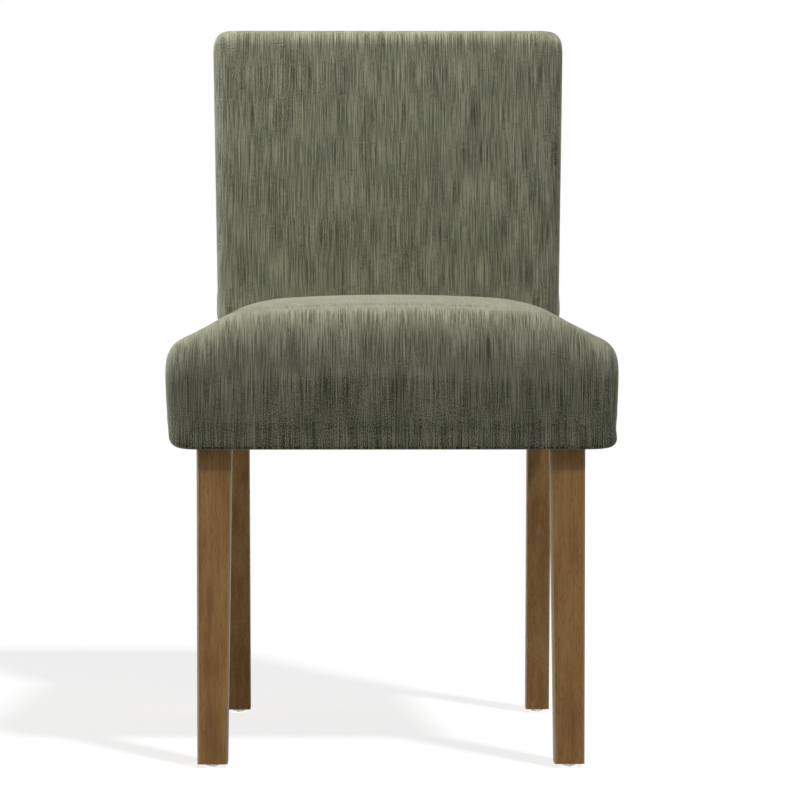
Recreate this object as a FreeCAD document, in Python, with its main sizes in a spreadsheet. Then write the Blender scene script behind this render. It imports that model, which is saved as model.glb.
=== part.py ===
import FreeCAD, Part
import math
import os
import Sketcher

# A parsons chair, in millimetres. +Z is up and the chair faces -Y. The origin is on the floor, in the middle.
# Four wooden legs and their rails make a doweled frame. Foam, wadding and fabric cover the seat and the back.

Vector = FreeCAD.Vector
UP = Vector(0, 0, 1)
ACROSS = Vector(1, 0, 0)
BACKWARDS = Vector(0, 1, 0)
SIDES = (("left", -1), ("right", 1))

# Driving sizes: name, millimetres or degrees, what it is
DRIVING = [
    ("chair_height", 820, "floor to the top of the back"),
    ("seat_height", 502, "floor to the crown of the seat, where it meets the back"),
    ("seat_underside", 349, "floor to the underside of the boxed seat"),
    ("seat_width", 490, "widest, at the front"),
    ("seat_rear_overhang", 4, "seat beyond the side of the back, where they meet"),
    ("seat_depth", 430, "front face to the back's front face"),
    ("side_drop_front", 36, "crown to the side shoulder, at the front"),
    ("side_drop_rear", 29, "crown to the side shoulder, at the back"),
    ("shoulder_in_front", 16, "side shoulder inside the widest line, at the front"),
    ("shoulder_in_rear", 10, "side shoulder inside the widest line, at the back"),
    ("side_lean_front", 4, "sides draw in towards the underside, at the front"),
    ("side_lean_rear", 2, "sides draw in towards the underside, at the back"),
    ("tuck_front", 12, "rounding under the sides, across, at the front"),
    ("tuck_rear", 5, "rounding under the sides, across, at the back"),
    ("tuck_rise_front", 16, "rounding under the sides, up, at the front"),
    ("tuck_rise_rear", 7, "rounding under the sides, up, at the back"),
    ("seat_crown", 3, "swell of the seat from front to rear"),
    ("seat_nose_depth", 48, "how far the front rounding reaches back"),
    ("seat_nose_height", 80, "how far the front rounding reaches down"),
    ("seat_corner_radius", 22, "front corners in plan"),
    ("seat_lip_depth", 4, "rounding under the front, front to rear"),
    ("seat_lip_rise", 2, "rounding under the front, up"),
    ("widest_rise", 14, "widest line of the seat above the foot of the front rounding"),
    ("back_base_width", 400, "at the seat"),
    ("back_flare", 14, "back wider at the top than at the seat"),
    ("back_base_depth", 79, "thickness at the seat"),
    ("back_top_depth", 66, "thickness at the top"),
    ("back_lean", 10, "degrees from upright"),
    ("knee_rise", 6, "the lean starts this far above the seat rails"),
    ("back_bend", 20, "half the height over which the lean starts"),
    ("back_corner_radius", 17, "edges above the seat"),
    ("back_foot_radius", 4, "edges below the seat"),
    ("back_crown", 4, "swell of the front face"),
    ("fabric_thickness", 1.2, "cover cloth"),
    ("wadding_thickness", 4.4, "polyester wadding"),
    ("layer_gap", 0.2, "ease between soft layers"),
    ("meeting_gap", 0.6, "seat cushion to back cushion"),
    ("back_pad_rise", 22, "back foam starts this far above the seat rails"),
    ("rear_padding", 2, "wadding between the board and the rear cover"),
    ("board_thickness", 3, "fibreboard on the rear of the posts"),
    ("board_margin", 7, "board edge inside the posts' outer faces"),
    ("leg_size", 38, "front leg, square at the top"),
    ("leg_foot_size", 33, "front leg, square at the foot"),
    ("leg_inset", 34, "front leg's outer face inside the seat's widest line"),
    ("leg_setback", 22, "seat front to the leg's front face"),
    ("edge_ease", 2, "rounding on the legs' long edges"),
    ("post_width", 28, "rear post, side to side"),
    ("post_depth", 40, "rear post at the rails, front to rear"),
    ("post_foot_depth", 32, "rear post at the foot"),
    ("post_top_depth", 31, "rear post at the top"),
    ("post_inset", 6.5, "rear post's outer face inside the side of the back"),
    ("post_splay", 39, "how far the foot stands behind the rail joint"),
    ("post_top_drop", 25, "top of the post below the top of the back"),
    ("taper_start_drop", 4, "legs start to taper this far below the seat"),
    ("rail_thickness", 22, "seat rails"),
    ("rail_height", 68, "seat rails"),
    ("back_rail_thickness", 22, "rails in the back"),
    ("crest_rail_height", 54, "top rail of the back"),
    ("lower_rail_height", 50, "lower rail of the back"),
    ("crest_rail_drop", 30, "middle of the crest rail below the top of the posts"),
    ("lower_rail_rise", 42, "middle of the lower rail above the seat rails"),
    ("dowel_radius", 4, "beech dowels"),
    ("dowel_length", 40, "half in each piece"),
    ("dowel_fit", 0.05, "radial clearance"),
    ("dowel_end_gap", 1, "glue space at each end of a dowel"),
    ("dowel_spacing_wide", 48, "side rail joints"),
    ("dowel_spacing_near", 24, "front and rear rail joints"),
    ("block_reach", 60, "corner block along its rail"),
    ("block_height", 36, "corner block"),
    ("screw_radius", 2.1, "corner block screws"),
    ("screw_head_radius", 4, "corner block screws"),
    ("screw_head_height", 3, "corner block screws"),
    ("screw_length", 46, "from the block's face to the tip"),
    ("screw_sink", 2, "head below the block's face"),
    ("screw_fit", 0.08, "radial clearance"),
    ("recess_fit", 0.25, "radial clearance round a screw head"),
    ("tip_gap", 1, "bore beyond the tip of a screw or nail"),
    ("screw_spread", 40, "between the two screws of a block"),
    ("strap_width", 50, "elastic webbing"),
    ("strap_thickness", 1.4, "elastic webbing"),
    ("strap_slope", 12, "run in which a strap changes level"),
    ("strap_side_gap", 1, "level run beside a strap that it crosses"),
    ("strap_end_margin", 4, "strap end to the outside of its rail"),
    ("glide_radius", 8, "nail-on glide"),
    ("glide_flat_radius", 4, "flat that rests on the floor"),
    ("glide_height", 4.5, "floor to the wood"),
    ("nail_radius", 1.1, "glide nail"),
    ("nail_length", 15, "glide nail"),
    ("turn_under", 16, "cover turned in under the rails"),
    ("dust_cover_thickness", 0.5, "nonwoven sheet"),
    ("dust_cover_margin", 9, "sheet edge inside the frame's outer face"),
    ("leg_notch_gap", 0.6, "fabric to leg"),
]

# Places worked out from the driving sizes: name, formula
PLACES = [
    ("lean_slope", "tan(sizes.back_lean)"),
    ("back_turn_height", "sizes.chair_height - sizes.back_corner_radius"),
    ("rail_bottom", "sizes.seat_underside + sizes.fabric_thickness + 1.5 * sizes.layer_gap"),
    ("rail_top", "rail_bottom + sizes.rail_height"),
    ("rail_middle", "rail_bottom + sizes.rail_height / 2"),
    ("knee", "rail_top + sizes.knee_rise"),
    ("back_taper", "(sizes.back_base_depth - sizes.back_top_depth) / (sizes.chair_height - knee)"),
    ("back_turn_depth", "sizes.back_top_depth + back_taper * sizes.back_corner_radius"),
    ("whole_depth", "sizes.seat_depth + (back_turn_height - sizes.seat_height) * lean_slope + back_turn_depth"),
    ("seat_front", "-whole_depth / 2"),
    ("back_face", "seat_front + sizes.seat_depth"),
    ("cover_inside", "sizes.fabric_thickness + sizes.layer_gap"),
    ("foam_inset", "cover_inside + sizes.wadding_thickness + sizes.layer_gap"),
    ("back_face_at_knee", "back_face - (sizes.seat_height - knee) * lean_slope"),
    ("rear_layers", "cover_inside + sizes.rear_padding + sizes.board_thickness"),
    ("post_rear", "back_face_at_knee + sizes.back_base_depth - rear_layers"),
    ("post_front", "post_rear - sizes.post_depth"),
    ("post_middle", "post_rear - sizes.post_depth / 2"),
    ("post_outer", "sizes.back_base_width / 2 - sizes.post_inset"),
    ("post_inner", "post_outer - sizes.post_width"),
    ("post_top", "sizes.chair_height - sizes.post_top_drop"),
    ("post_rise", "post_top - knee"),
    ("post_top_rear", "back_face_at_knee + post_rise * lean_slope + sizes.back_top_depth - rear_layers"),
    ("post_top_front", "post_top_rear - sizes.post_top_depth"),
    ("post_front_slope", "(post_top_front - post_front) / post_rise"),
    ("post_rear_slope", "(post_top_rear - post_rear) / post_rise"),
    ("post_front_lean", "atan(post_front_slope)"),
    ("post_middle_slope", "(post_front_slope + post_rear_slope) / 2"),
    ("post_middle_lean", "atan(post_middle_slope)"),
    ("taper_start", "sizes.seat_underside - sizes.taper_start_drop"),
    ("foot_middle", "post_middle + sizes.post_splay"),
    ("leg_outer", "sizes.seat_width / 2 - sizes.leg_inset"),
    ("leg_inner", "leg_outer - sizes.leg_size"),
    ("leg_front", "seat_front + sizes.leg_setback"),
    ("leg_rear", "leg_front + sizes.leg_size"),
    ("front_rail_inner", "leg_front + sizes.rail_thickness"),
    ("rear_rail_front", "post_middle - sizes.rail_thickness / 2"),
    ("side_slope", "(leg_outer - post_outer) / (post_front - leg_rear)"),
    ("side_inner_at_leg", "leg_outer - sizes.rail_thickness"),
    ("side_inner_at_post", "post_outer - sizes.rail_thickness"),
    ("crest_rail_middle", "post_top - sizes.crest_rail_drop"),
    ("lower_rail_middle", "rail_top + sizes.lower_rail_rise"),
    ("back_pad_bottom", "rail_top + sizes.back_pad_rise"),
    ("strap_top", "rail_top + 2 * sizes.strap_thickness + sizes.layer_gap"),
    ("foam_bottom", "strap_top + sizes.layer_gap"),
    ("block_corner_x", "leg_inner - sizes.block_reach"),
    ("front_block_end", "front_rail_inner + side_inner_at_leg - block_corner_x"),
    ("rear_block_corner_x", "post_inner - sizes.block_reach"),
    ("rear_block_end", "rear_rail_front - side_inner_at_post + rear_block_corner_x"),
    ("side_clear", "(sizes.back_base_width / 2 - cover_inside + post_outer) / 2 + sizes.layer_gap"),
]

doc = FreeCAD.newDocument("parsons_chair")
sizes = doc.addObject("Spreadsheet::Sheet", "sizes")
places = doc.addObject("Spreadsheet::Sheet", "places")
nodes = []


def fill_sheets():
    for row, (name, value, note) in enumerate(DRIVING, 1):
        sizes.set(f"A{row}", name)
        sizes.set(f"B{row}", str(value))
        sizes.set(f"C{row}", note)
        sizes.setAlias(f"B{row}", name)
    doc.recompute()
    for row, (name, formula) in enumerate(PLACES, 1):
        places.set(f"A{row}", name)
        places.set(f"B{row}", "=" + formula)
        places.setAlias(f"B{row}", name)
        doc.recompute()


def size(name):
    return float(sizes.get(name))


def place(name):
    return float(places.get(name))


def keep(thing, label):
    thing.Label = label
    nodes.append(thing)
    return thing


# Sketches and features

def sketch_on(body, plane, name):
    sketch = body.newObject("Sketcher::SketchObject", name)
    planes = {feature.Role: feature for feature in body.Origin.OriginFeatures}
    sketch.AttachmentSupport = [(planes[plane], "")]
    sketch.MapMode = "FlatFace"
    return sketch


def polygon(body, plane, name, corners):
    # the lines start as a regular ring, and the constraints then draw each corner to its place
    sketch = sketch_on(body, plane, name)
    count, ring_radius = len(corners), 50
    turns = [2 * math.pi * index / count for index in range(count + 1)]
    start = [Vector(ring_radius * math.cos(turn), ring_radius * math.sin(turn), 0) for turn in turns]
    for index in range(count):
        sketch.addGeometry(Part.LineSegment(start[index], start[index + 1]), False)
    for index in range(count):
        sketch.addConstraint(Sketcher.Constraint("Coincident", index, 2, (index + 1) % count, 1))
    for index, corner in enumerate(corners):
        for letter, expression in zip("XY", corner):
            number = sketch.addConstraint(Sketcher.Constraint("Distance" + letter, -1, 1, index, 1, 10.0))
            sketch.renameConstraint(number, f"{letter.lower()}_{index}")
            sketch.setExpression(f"Constraints.{letter.lower()}_{index}", expression)
    return sketch


def pad(body, sketch, length, both_ways=False):
    feature = body.newObject("PartDesign::Pad", sketch.Name + "_pad")
    feature.Profile = sketch
    feature.SideType = "Symmetric" if both_ways else "One side"
    feature.setExpression("Length", length)
    return feature


def put(thing, x=None, y=None, z=None):
    for letter, expression in zip("xyz", (x, y, z)):
        if expression is not None:
            thing.setExpression(f"Placement.Base.{letter}", expression)


def ease_upright_edges(body, feature):
    doc.recompute()
    steepest, upright = 0.9, []
    for number, edge in enumerate(feature.Shape.Edges, 1):
        run = edge.Vertexes[-1].Point - edge.Vertexes[0].Point
        if abs(run.z) > steepest * edge.Length:
            upright.append(f"Edge{number}")
    ease = body.newObject("PartDesign::Fillet", body.Name + "_ease")
    ease.Base = (feature, upright)
    ease.setExpression("Radius", "sizes.edge_ease")
    return ease


def lean_back(thing, angle):
    thing.Placement = FreeCAD.Placement(Vector(), FreeCAD.Rotation(ACROSS, -1))
    thing.setExpression("Placement.Rotation.Angle", angle)
    thing.setExpression("Placement.Rotation.Axis.x", "-1")


def rod(name, start, axis, radius, length):
    cylinder = doc.addObject("Part::Cylinder", name)
    cylinder.Placement = FreeCAD.Placement(Vector(), FreeCAD.Rotation(UP, axis))
    put(cylinder, *start)
    cylinder.setExpression("Radius", radius)
    cylinder.setExpression("Height", length)
    return cylinder


# The joints: each dowel and its bore share one place

def seat_joint_places():
    joints = []
    for side, sign in SIDES:
        for level in (-1, 1):
            near = f"places.rail_middle + {level} * sizes.dowel_spacing_near / 2"
            wide = f"places.rail_middle + {level} * sizes.dowel_spacing_wide / 2"
            tag = f"{side}_{'low' if level < 0 else 'high'}"
            front_y = "places.leg_front + sizes.rail_thickness / 2"
            joints.append((f"front_{tag}", (f"{sign} * places.leg_inner", front_y, near), ACROSS))
            joints.append((f"rear_{tag}", (f"{sign} * places.post_inner", "places.post_middle", near), ACROSS))
            side_x = f"{sign} * (places.leg_outer - sizes.rail_thickness / 2)"
            joints.append((f"side_front_{tag}", (side_x, "places.leg_rear", wide), BACKWARDS))
            side_x = f"{sign} * (places.post_outer - sizes.rail_thickness / 2)"
            joints.append((f"side_rear_{tag}", (side_x, "places.post_front", wide), BACKWARDS))
    return joints


def back_joint_places():
    joints = []
    for rail in ("crest_rail", "lower_rail"):
        for side, sign in SIDES:
            for level in (-1, 1):
                reach = f"{level} * sizes.dowel_spacing_near / 2"
                y = (f"places.post_middle + (places.{rail}_middle - places.knee) * places.post_middle_slope"
                     f" + {reach} * sin(places.post_middle_lean)")
                z = f"places.{rail}_middle + {reach} * cos(places.post_middle_lean)"
                tag = f"{rail}_{side}_{'low' if level < 0 else 'high'}"
                joints.append((tag, (f"{sign} * places.post_inner", y, z), ACROSS))
    return joints


def step_along(start, axis, distance):
    return [f"{expression} + {amount} * ({distance})" for expression, amount in zip(start, axis)]


def dowels(label, joints):
    rods = [rod("dowel_" + tag, step_along(start, axis, "-sizes.dowel_length / 2"), axis,
                "sizes.dowel_radius", "sizes.dowel_length") for tag, start, axis in joints]
    group = doc.addObject("Part::Compound", label)
    group.Links = rods
    return keep(group, label)


def dowel_bores(joints):
    length = "sizes.dowel_length + 2 * sizes.dowel_end_gap"
    return [rod("bore_" + tag, step_along(start, axis, f"-({length}) / 2"), axis,
                "sizes.dowel_radius + sizes.dowel_fit", length) for tag, start, axis in joints]


# Two screws in each corner block, driven at 45 degrees into the rails

def screw_places():
    starts = []
    slant = math.sqrt(0.5)
    shift = "sizes.screw_spread / 2 * cos(45)"
    for end, along in (("front", -1), ("rear", 1)):
        corner_x = "places.block_corner_x" if end == "front" else "places.rear_block_corner_x"
        wall_x = f"places.side_inner_at_{'leg' if end == 'front' else 'post'}"
        corner_y = "places.front_rail_inner" if end == "front" else "places.rear_rail_front"
        wall_y = f"places.{end}_block_end"
        for side, sign in SIDES:
            for number, step in ((1, -1), (2, 1)):
                x = f"{sign} * (({corner_x} + {wall_x}) / 2 + {step} * {shift})"
                y = f"({corner_y} + {wall_y}) / 2 + {-along * step} * {shift}"
                axis = Vector(sign * slant, along * slant, 0)
                starts.append((f"{end}_{side}_{number}", (x, y, "places.rail_middle"), axis))
    return starts


def screws():
    bodies = []
    for tag, start, axis in screw_places():
        head = rod("head_" + tag, step_along(start, axis, "sizes.screw_sink"), axis,
                   "sizes.screw_head_radius", "sizes.screw_head_height")
        shank = rod("shank_" + tag, step_along(start, axis, "sizes.screw_sink"), axis,
                    "sizes.screw_radius", "sizes.screw_length - sizes.screw_sink")
        screw = doc.addObject("Part::Fuse", "screw_" + tag)
        screw.Base = head
        screw.Tool = shank
        bodies.append(screw)
    group = doc.addObject("Part::Compound", "corner_block_screws")
    group.Links = bodies
    return keep(group, "corner_block_screws")


def screw_bores():
    bores = []
    for tag, start, axis in screw_places():
        outside = "3 * sizes.screw_head_radius"
        bores.append(rod("recess_" + tag, step_along(start, axis, "-" + outside), axis,
                         "sizes.screw_head_radius + sizes.recess_fit",
                         f"sizes.screw_sink + sizes.screw_head_height + {outside}"))
        bores.append(rod("pilot_" + tag, start, axis,
                         "sizes.screw_radius + sizes.screw_fit", "sizes.screw_length + sizes.tip_gap"))
    return bores


# Legs, posts and glides

def foot_places():
    feet = {}
    for side, sign in SIDES:
        front_x = f"{sign} * (places.leg_outer - sizes.leg_foot_size / 2)"
        feet[f"front_{side}"] = (front_x, "places.leg_front + sizes.leg_foot_size / 2")
        feet[f"rear_{side}"] = (f"{sign} * (places.post_outer - sizes.post_width / 2)", "places.foot_middle")
    return feet


def glides():
    for name, (x, y) in foot_places().items():
        body = doc.addObject("PartDesign::Body", name + "_glide")
        profile = polygon(body, "XZ_Plane", name + "_dome", [
            ("0", "0"), ("sizes.glide_flat_radius", "0"),
            ("sizes.glide_radius * 0.83", "sizes.glide_height * 0.22"),
            ("sizes.glide_radius", "sizes.glide_height * 0.6"), ("sizes.glide_radius", "sizes.glide_height"),
            ("sizes.nail_radius", "sizes.glide_height"),
            ("sizes.nail_radius", "sizes.glide_height + sizes.nail_length"),
            ("0", "sizes.glide_height + sizes.nail_length")])
        turned = body.newObject("PartDesign::Revolution", name + "_turned")
        turned.Profile = profile
        turned.ReferenceAxis = (profile, ["V_Axis"])
        turned.Angle = 360
        put(body, x, y)
        keep(body, name + "_glide")


def nail_bores():
    return [rod(f"nail_bore_{name}", (x, y, "0"), UP, "sizes.nail_radius + sizes.dowel_fit",
                "sizes.glide_height + sizes.nail_length + sizes.tip_gap")
            for name, (x, y) in foot_places().items()]


def eased_square(body, name, sign, width, level):
    # a square in plan with eased corners; its outer and front faces stay in line while the width changes
    full, ease = "sizes.leg_size / 2", "sizes.edge_ease"
    outer, inner = f"{full}", f"({full} - {width})"
    front, rear = f"-{full}", f"({width} - {full})"
    corners = [(outer, f"{front} + {ease}"), (outer, f"{rear} - {ease}"), (f"{outer} - {ease}", rear),
               (f"{inner} + {ease}", rear), (inner, f"{rear} - {ease}"), (inner, f"{front} + {ease}"),
               (f"{inner} + {ease}", front), (f"{outer} - {ease}", front)]
    sketch = polygon(body, "XY_Plane", name, [(f"{sign} * ({x})", y) for x, y in corners])
    sketch.setExpression(".AttachmentOffset.Base.z", level)
    return sketch


def front_leg_blank(side, sign):
    body = doc.addObject("PartDesign::Body", f"front_{side}_leg_blank")
    foot = eased_square(body, f"{side}_leg_foot", sign, "sizes.leg_foot_size", "sizes.glide_height")
    shoulder = eased_square(body, f"{side}_leg_shoulder", sign, "sizes.leg_size", "places.taper_start")
    taper = body.newObject("PartDesign::AdditiveLoft", f"{side}_leg_taper")
    taper.Profile = foot
    taper.Sections = [shoulder]
    taper.Ruled = True
    top = eased_square(body, f"{side}_leg_top", sign, "sizes.leg_size", "places.taper_start")
    pad(body, top, "places.rail_top - places.taper_start")
    put(body, f"{sign} * (places.leg_outer - sizes.leg_size / 2)", "places.leg_front + sizes.leg_size / 2")
    return body


def rear_post_blank(side, sign):
    body = doc.addObject("PartDesign::Body", f"rear_{side}_post_blank")
    outline = polygon(body, "YZ_Plane", f"{side}_post_outline", [
        ("places.foot_middle - sizes.post_foot_depth / 2", "sizes.glide_height"),
        ("places.foot_middle + sizes.post_foot_depth / 2", "sizes.glide_height"),
        ("places.post_rear", "places.taper_start"), ("places.post_rear", "places.knee"),
        ("places.post_top_rear", "places.post_top"), ("places.post_top_front", "places.post_top"),
        ("places.post_front", "places.knee"), ("places.post_front", "places.taper_start")])
    board = pad(body, outline, "sizes.post_width", both_ways=True)
    ease_upright_edges(body, board)
    put(body, f"{sign} * (places.post_outer - sizes.post_width / 2)")
    return body


# Rails and blocks

def cross_rail_blank(name, half_length, height, thickness):
    body = doc.addObject("PartDesign::Body", name + "_blank")
    rise, left = f"{height} / 2", f"-{half_length}"
    outline = polygon(body, "XZ_Plane", name + "_outline", [
        (left, f"-{rise}"), (half_length, f"-{rise}"), (half_length, rise), (left, rise)])
    pad(body, outline, thickness, both_ways=True)
    return body


def leaning_rail_blank(name, height):
    body = cross_rail_blank(name, "places.post_inner", height, "sizes.back_rail_thickness")
    lean_back(body, "places.post_middle_lean")
    put(body, "0", f"places.post_middle + (places.{name}_middle - places.knee) * places.post_middle_slope",
        f"places.{name}_middle")
    return body


def side_rail_blank(side, sign):
    body = doc.addObject("PartDesign::Body", f"{side}_side_rail_blank")
    outline = polygon(body, "XY_Plane", f"{side}_rail_plan", [
        (f"{sign} * places.leg_outer", "places.leg_rear"), (f"{sign} * places.post_outer", "places.post_front"),
        (f"{sign} * places.side_inner_at_post", "places.post_front"),
        (f"{sign} * places.side_inner_at_leg", "places.leg_rear")])
    pad(body, outline, "sizes.rail_height")
    put(body, z="places.rail_bottom")
    return body


def corner_block_blank(end, side, sign):
    if end == "front":
        corner_x, rail_y = "places.block_corner_x", "places.front_rail_inner"
        inner_x, joint_y, end_y = "places.leg_inner", "places.leg_rear", "places.front_block_end"
    else:
        corner_x, rail_y = "places.rear_block_corner_x", "places.rear_rail_front"
        inner_x, joint_y, end_y = "places.post_inner", "places.post_front", "places.rear_block_end"
    wall_x = f"places.side_inner_at_leg - ({end_y} - places.leg_rear) * places.side_slope"
    wall_joint_x = f"places.side_inner_at_leg - ({joint_y} - places.leg_rear) * places.side_slope"
    body = doc.addObject("PartDesign::Body", f"{end}_{side}_corner_block_blank")
    outline = polygon(body, "XY_Plane", f"{end}_{side}_block_plan", [
        (f"{sign} * {inner_x}", rail_y), (f"{sign} * {corner_x}", rail_y), (f"{sign} * ({wall_x})", end_y),
        (f"{sign} * ({wall_joint_x})", joint_y), (f"{sign} * {inner_x}", joint_y)])
    pad(body, outline, "sizes.block_height")
    put(body, z="places.rail_middle - sizes.block_height / 2")
    return body


def drill(label, blank, bores):
    piece = doc.addObject("Part::Cut", label)
    piece.Base = blank
    piece.Tool = bores
    return keep(piece, label)


def frame():
    seat_joints, back_joints = seat_joint_places(), back_joint_places()
    bores = doc.addObject("Part::MultiFuse", "frame_bores")
    bores.Shapes = dowel_bores(seat_joints) + dowel_bores(back_joints) + screw_bores() + nail_bores()
    for side, sign in SIDES:
        drill(f"front_{side}_leg", front_leg_blank(side, sign), bores)
        drill(f"rear_{side}_post", rear_post_blank(side, sign), bores)
        drill(f"{side}_side_rail", side_rail_blank(side, sign), bores)
    front = cross_rail_blank("front_rail", "places.leg_inner", "sizes.rail_height", "sizes.rail_thickness")
    put(front, "0", "places.leg_front + sizes.rail_thickness / 2", "places.rail_middle")
    drill("front_rail", front, bores)
    rear = cross_rail_blank("rear_rail", "places.post_inner", "sizes.rail_height", "sizes.rail_thickness")
    put(rear, "0", "places.post_middle", "places.rail_middle")
    drill("rear_rail", rear, bores)
    drill("crest_rail", leaning_rail_blank("crest_rail", "sizes.crest_rail_height"), bores)
    drill("lower_back_rail", leaning_rail_blank("lower_rail", "sizes.lower_rail_height"), bores)
    for end in ("front", "rear"):
        for side, sign in SIDES:
            drill(f"{end}_{side}_corner_block", corner_block_blank(end, side, sign), bores)
    dowels("seat_frame_dowels", seat_joints)
    dowels("back_frame_dowels", back_joints)


# Elastic webbing, woven over and under on the seat rails and laid flat across the posts

CROSS_STRAPS = 4
LONG_STRAPS = 4
BACK_STRAPS = 4


def strap_line(number, count, low, high):
    return f"({low} + ({high} - ({low})) * {(number - 0.5) / count})"


def woven_profile(body, plane, name, ends, crossings, over_first):
    thick, reach = "sizes.strap_thickness", "(sizes.strap_width / 2 + sizes.strap_side_gap)"
    lower = [(ends[0], "0")]
    for index, middle in enumerate(crossings):
        if (index % 2 == 0) == over_first:
            near, far = f"{middle} - {reach}", f"{middle} + {reach}"
            lower += [(f"{near} - sizes.strap_slope", "0"), (near, thick)]
            lower += [(far, thick), (f"{far} + sizes.strap_slope", "0")]
    lower.append((ends[1], "0"))
    upper = [(along, f"{rise} + {thick}") for along, rise in reversed(lower)]
    return polygon(body, plane, name, lower + upper)


def strap(name, plane, ends, crossings, over_first, offset):
    body = doc.addObject("PartDesign::Body", name)
    pad(body, woven_profile(body, plane, name + "_profile", ends, crossings, over_first),
        "sizes.strap_width", both_ways=True)
    put(body, z="places.rail_top")
    put(body, **offset)
    keep(body, name)


def seat_webbing():
    half = "(places.side_inner_at_post - sizes.strap_end_margin)"
    long_x = [strap_line(number, LONG_STRAPS, "-" + half, half) for number in range(1, LONG_STRAPS + 1)]
    front, rear = "places.front_rail_inner", "places.rear_rail_front"
    cross_y = [strap_line(number, CROSS_STRAPS, front, rear) for number in range(1, CROSS_STRAPS + 1)]
    for number, middle in enumerate(cross_y, 1):
        rail_x = f"places.leg_outer - ({middle} - places.leg_rear) * places.side_slope"
        reach = f"({rail_x} - sizes.strap_end_margin)"
        strap(f"cross_strap_{number}", "XZ_Plane", (f"-{reach}", reach), long_x, number % 2 == 1, {"y": middle})
    for number, middle in enumerate(long_x, 1):
        ends = ("places.leg_front + sizes.strap_end_margin",
                "places.rear_rail_front + sizes.rail_thickness - sizes.strap_end_margin")
        strap(f"long_strap_{number}", "YZ_Plane", ends, cross_y, number % 2 == 0, {"x": middle})


def back_webbing():
    low = "(places.lower_rail_middle + sizes.lower_rail_height / 2)"
    high = "(places.crest_rail_middle - sizes.crest_rail_height / 2)"
    for number in range(1, BACK_STRAPS + 1):
        middle = strap_line(number, BACK_STRAPS, low, high)
        box = doc.addObject("Part::Box", f"back_strap_{number}")
        lean_back(box, "places.post_front_lean")
        box.setExpression("Length", "2 * (places.post_outer - sizes.strap_end_margin)")
        box.setExpression("Width", "sizes.strap_thickness")
        box.setExpression("Height", "sizes.strap_width")
        start = f"({middle} - sizes.strap_width / 2)"
        put(box, "-(places.post_outer - sizes.strap_end_margin)",
            f"places.post_front + ({start} - places.knee) * places.post_front_slope"
            " - sizes.strap_thickness * cos(places.post_front_lean) - sizes.layer_gap / 10",
            f"{start} + sizes.strap_thickness * sin(places.post_front_lean)")
        keep(box, f"back_strap_{number}")


def back_board():
    body = doc.addObject("PartDesign::Body", "back_board")
    gap, thick = "sizes.layer_gap / 2", "sizes.board_thickness"
    top = "places.post_top"
    near, far = f"places.post_rear + {gap}", f"places.post_rear + {gap} + {thick}"
    near_top, far_top = f"places.post_top_rear + {gap}", f"places.post_top_rear + {gap} + {thick}"
    outline = polygon(body, "YZ_Plane", "board_profile", [
        (near, "places.rail_bottom"), (far, "places.rail_bottom"), (far, "places.knee"),
        (far_top, top), (near_top, top), (near, "places.knee")])
    pad(body, outline, "2 * (places.post_outer - sizes.board_margin)", both_ways=True)
    keep(body, "back_board")


# Soft forms: closed solids lofted through outlines of lines and arcs, drawn in by an inset

def arc(first, middle, last):
    return Part.Arc(first, middle, last).toShape()


def outline_wire(half, to_space):
    # half lists the right side from the top centre down as (x, z) pairs, every second one inside an arc
    right = [to_space(x, z) for x, z in half]
    left = [to_space(-x, z) for x, z in half]
    edges = [arc(left[1], right[0], right[1])]
    for index in range(1, len(half) - 2, 2):
        edges.append(arc(right[index], right[index + 1], right[index + 2]))
    edges.append(Part.LineSegment(right[-1], left[-1]).toShape())
    for index in range(len(half) - 1, 2, -2):
        edges.append(arc(left[index], left[index - 1], left[index - 2]))
    return Part.Wire(edges)


def loft(outlines):
    solid, ruled, closed, highest_degree = True, False, False, 3
    return Part.makeLoft(outlines, solid, ruled, closed, highest_degree)


def tapered(name, along):
    # a size that changes evenly from the front of the seat, 0, to its rear, 1
    return size(name + "_front") + (size(name + "_rear") - size(name + "_front")) * along


def seat_outline(reach, rise, inset):
    # reach is the distance behind the seat's front face, rise goes from 0 to 1 over the front rounding
    depth, radius = size("seat_depth"), size("seat_corner_radius")
    along = max(reach - radius, 0) / (depth - radius)
    drawn_in = radius - math.sqrt(radius ** 2 - max(radius - reach, 0) ** 2)
    half_front = size("seat_width") / 2
    half_rear = size("back_base_width") / 2 + size("seat_rear_overhang")
    half_width = half_front + (half_rear - half_front) * along - drawn_in - inset
    underside = size("seat_underside") + inset
    lip = size("seat_lip_rise") * max(1 - reach / size("seat_lip_depth"), 0)
    nose_base = size("seat_height") - size("seat_nose_height")
    nose_end = size("seat_nose_depth")
    swell = math.sin(math.pi * min(max((reach - nose_end) / (depth - nose_end), 0), 1))
    crown = size("seat_height") + size("seat_crown") * swell - inset
    drop, shoulder_in = tapered("side_drop", along), tapered("shoulder_in", along)
    tuck, tuck_rise = tapered("tuck", along), tapered("tuck_rise", along)
    lean_in = tapered("side_lean", along)

    def lifted(height):
        return nose_base + (height - nose_base) * rise

    shoulder, widest = lifted(crown - drop), lifted(nose_base + size("widest_rise"))
    tuck_start = underside + lip + tuck_rise
    half = [
        (0, lifted(crown)),
        (half_width * 0.5, lifted(crown - drop * 0.09)),
        (half_width * 0.78, lifted(crown - drop * 0.41)),
        (half_width - shoulder_in, shoulder),
        (half_width - shoulder_in * 0.27, shoulder - (shoulder - widest) * 0.42),
        (half_width, widest),
        (half_width - lean_in * 0.3, (widest + tuck_start) / 2),
        (half_width - lean_in, tuck_start),
        (half_width - lean_in - tuck * 0.26, underside + lip + tuck_rise * 0.3),
        (half_width - lean_in - tuck, underside + lip),
    ]
    y = place("seat_front") + reach + inset
    return outline_wire(half, lambda across, height: Vector(across, y, height))


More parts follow.
